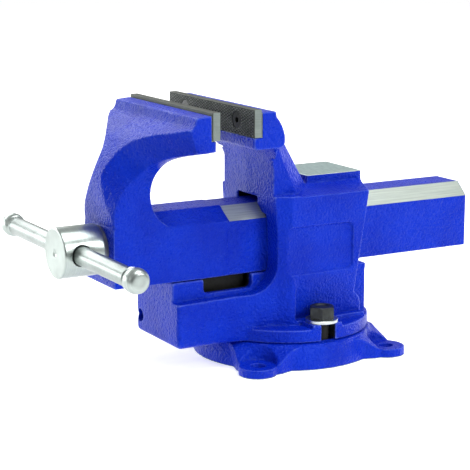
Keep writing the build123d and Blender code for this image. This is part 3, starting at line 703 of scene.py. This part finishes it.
def rounded_corner(along, radius, size, outwards):
    """Profile points of a rounded outer corner; outwards is -1 at the start of a piece, 1 at
    its end."""
    arc = []
    for step in range(6):
        turn = math.pi / 2 * (step / 5 if outwards < 0 else 1 - step / 5)
        inwards, drop = size * (1 - math.cos(turn)), size * (1 - math.sin(turn))
        arc.append((along - outwards * inwards, radius - drop))
    return arc


head = turned("spindle_head", "X", (0, 0, SPINDLE_Z), [
    (HEAD_FRONT + 0.0012, 0.0012),
    (HEAD_FRONT + 0.0002, 0.0030),
    *[(HEAD_FRONT, 0.0032 + 0.0136 * k / 9) for k in range(10)],
    *rounded_corner(HEAD_FRONT, HEAD_R, 0.0011, -1),
    *rounded_corner(HEAD_REAR, HEAD_R, 0.0005, 1),
    (HEAD_REAR, 0.0120),
    (HEAD_REAR, THREAD_R),
    (THREAD_START - 0.0030, THREAD_R),
    (THREAD_START - 0.0018, THREAD_ROOT_R),
    (THREAD_START + 0.0010, THREAD_ROOT_R),
], 96)
hole_profile = [(-0.03, CROSS_HOLE_R), (0.03, CROSS_HOLE_R)]
cutter = turned("cross_hole", "Y", (HANDLE_X, 0, SPINDLE_Z), hole_profile, 64)
drill = head.modifiers.new("cross_hole", "BOOLEAN")
drill.operation = "DIFFERENCE"
drill.solver = "EXACT"
drill.object = cutter
edge = head.modifiers.new("hole_edge", "BEVEL")
edge.width = 0.0005
edge.segments = 3
edge.limit_method = "ANGLE"
edge.angle_limit = math.radians(50)
drilled = bpy.data.meshes.new_from_object(head.evaluated_get(bpy.context.evaluated_depsgraph_get()))
head.modifiers.clear()
head.data = drilled
bpy.data.objects.remove(cutter)
drilled.set_sharp_from_angle(angle=math.radians(35))

# share of a lead, and the radius there: root, flank, crest, flank
thread_profile = (
    (0.00, THREAD_ROOT_R), (0.26, THREAD_ROOT_R), (0.38, THREAD_R - 0.0001), (0.42, THREAD_R),
    (0.72, THREAD_R), (0.76, THREAD_R - 0.0001), (0.88, THREAD_ROOT_R),
)
turns = (THREAD_END - THREAD_START) / THREAD_LEAD + 1
steps = round(turns * THREAD_STEPS)
points, faces = [], []
for i in range(steps + 1):
    turn = 2 * math.pi * i / THREAD_STEPS
    for share, radius in thread_profile:
        x = THREAD_START + THREAD_LEAD * (i / THREAD_STEPS + share - 1)
        clipped = min(max(x, THREAD_START), THREAD_END)
        runout = max(0.0, min(1.0, (x - THREAD_START) / THREAD_RUNOUT))
        point_r = THREAD_ROOT_R + (radius - THREAD_ROOT_R) * runout
        point_r = min(point_r, THREAD_R - max(0.0, clipped - (THREAD_END - 0.002)))
        if x > THREAD_END + 0.0001:
            point_r = max(0.0005, THREAD_ROOT_R - 3 * (x - THREAD_END))
        points.append((clipped, point_r * math.cos(turn), SPINDLE_Z + point_r * math.sin(turn)))
row = len(thread_profile)
for i in range(steps):
    for j in range(row):
        k = i if j < row - 1 else i + THREAD_STEPS
        if k + 1 <= steps:
            nxt = j + 1 if j < row - 1 else 0
            faces.append((i * row + j, (i + 1) * row + j, (k + 1) * row + nxt, k * row + nxt))
thread_mesh = bpy.data.meshes.new("spindle_thread")
thread_mesh.from_pydata(points, [], faces)
thread = bpy.data.objects.new("spindle_thread", thread_mesh)
bpy.context.scene.collection.objects.link(thread)
tidy_normals(thread_mesh, 40)

TURNED_TINT = (0.46, 0.52, 0.49)
TURNED_DARK = (0.27, 0.31, 0.295)
turned_steel = grey_steel(
    "turned_steel_head", TURNED_TINT, TURNED_DARK, 0.20, (2200, 25, 25))
oiled_thread = grey_steel(
    "oiled_thread_steel", (0.36, 0.37, 0.35), (0.16, 0.16, 0.15), 0.28, (300, 300, 300), 0.14)
drilled.materials.clear()
drilled.materials.append(turned_steel)
thread_mesh.materials.append(oiled_thread)
for piece in (head, thread):
    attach(piece, "screw")
    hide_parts("spindle")


# ---- Thrust washer, spring, collar and pin ----------------------------------------------------
# On the journal behind the boss: a washer, a coil spring that takes up the play, and a collar
# pinned to the spindle, which pulls the jaw open. The thrust washer sits under the head.

plain_steel = grey_steel(
    "plain_steel", (0.34, 0.36, 0.34), (0.16, 0.17, 0.16), 0.30, (1500, 90, 90), 0.15)
spring_steel = grey_steel(
    "spring_wire", (0.17, 0.17, 0.17), (0.07, 0.07, 0.075), 0.30, (500, 500, 500), 0.12)
for node, finish, edge_mm in (
    ("thrust_washer", plain_steel, 0.25),
    ("spring_washer", plain_steel, 0.2),
    ("thrust_collar", plain_steel, 0.3),
    ("thrust_spring", spring_steel, 0.0),
    ("collar_pin", spring_steel, 0.15),
):
    refinish(node, finish, edge_mm)


# ---- Handle -----------------------------------------------------------------------------------
# A ground steel bar that slides through the head, with a turned knob pressed on each end. A
# knob has a neck, a full round belly and a flat, faced end.

BAR_R = 0.00675
BAR_ENDS = (-0.1000, 0.1075)
BAR_SEAT_R = 0.0050  # the bar's turned-down ends, inside the knobs
KNOB_R = 0.0088
KNOB_END = 0.0080
KNOB_START = 0.0072
BELLY_MIDDLE = 0.0012
BELLY_REACH = 0.0072
BELLY_DROP = 0.0046

bar_steel = grey_steel(
    "ground_bar_steel", (0.36, 0.41, 0.39), (0.20, 0.23, 0.22), 0.24, (30, 2400, 30), 0.12)
knob_steel = grey_steel(
    "knob_steel", (0.50, 0.56, 0.53), TURNED_DARK, 0.22, (30, 1800, 30), 0.12)
bar = turned("handle_rod", "Y", (HANDLE_X, 0, SPINDLE_Z), [
    (BAR_ENDS[0] + 0.0020, BAR_SEAT_R),
    (BAR_ENDS[0] + KNOB_START, BAR_SEAT_R),
    *rounded_corner(BAR_ENDS[0] + KNOB_START, BAR_R, 0.0004, -1),
    *rounded_corner(BAR_ENDS[1] - KNOB_START, BAR_R, 0.0004, 1),
    (BAR_ENDS[1] - KNOB_START, BAR_SEAT_R),
    (BAR_ENDS[1] - 0.0020, BAR_SEAT_R),
], 72)
bar.data.materials.append(bar_steel)
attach(bar, "handle")
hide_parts("handle_bar")

# neck, belly and faced end of a knob: distance outwards from the bar's end, and radius
knob_profile = [(-KNOB_START, 0.0051), (-KNOB_START, 0.0064), (-KNOB_START + 0.0002, BAR_R),
                (-0.0062, 0.0069), (-0.0054, 0.0073), (-0.0047, 0.0080)]
for step in range(9):
    turn = math.pi * (-0.28 + 0.62 * step / 8)
    knob_profile.append((BELLY_MIDDLE + BELLY_REACH * math.sin(turn),
                         KNOB_R - BELLY_DROP * (1 - math.cos(turn))))
knob_profile += [(KNOB_END - 0.0001, 0.0056), (KNOB_END, 0.0053),
                 (KNOB_END - 0.0001, 0.0030), (KNOB_END - 0.0002, 0.0008)]

for node, centre, outwards in (
    ("handle_ball_near", BAR_ENDS[0], -1),
    ("handle_ball_far", BAR_ENDS[1], 1),
):
    profile = [(outwards * min(along, KNOB_END), radius) for along, radius in knob_profile]
    knob = turned(node.replace("ball", "knob"), "Y", (HANDLE_X, centre, SPINDLE_Z), profile, 72)
    knob.data.materials.append(knob_steel)
    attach(knob, "handle")
    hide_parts(node)


# ---- Spindle nut ------------------------------------------------------------------------------
# A cast iron block, milled and greased, which stands in the body inside the hollow beam, and
# the two socket screws that hold it from below.

# greased iron, darkened further as painted shade for the hollows that the nuts sit in
nut_iron_in_shade = grey_steel(
    "greased_nut_iron_in_shade", (0.035, 0.035, 0.033), (0.015, 0.015, 0.014), 0.36, (500, 500, 500), 0.15)
refinish("spindle_nut", nut_iron_in_shade, 0.4)
refinish("nut_bolts", black_screw, 0.2)


# ---- Swivel lock ------------------------------------------------------------------------------
# On each side a black M10 hexagon bolt with a bright plated washer; it draws up a tee nut that
# runs in the annular slot of the base, and so clamps the body at any angle.

# the bolt is painted near-black below its seat, as the shade in the slot
bolt_black = black_steel("black_bolt", (300, 300, 300), LOCK_SEAT)
zinc_plate = grey_steel(
    "zinc_washer", (0.62, 0.66, 0.66), (0.42, 0.46, 0.46), 0.22, (500, 500, 500))
for side in ("near", "far"):
    refinish(f"lock_bolt_{side}", bolt_black, 0.35)
    refinish(f"lock_washer_{side}", zinc_plate, 0.15)
    refinish(f"tee_nut_{side}", nut_iron_in_shade, 0.3)
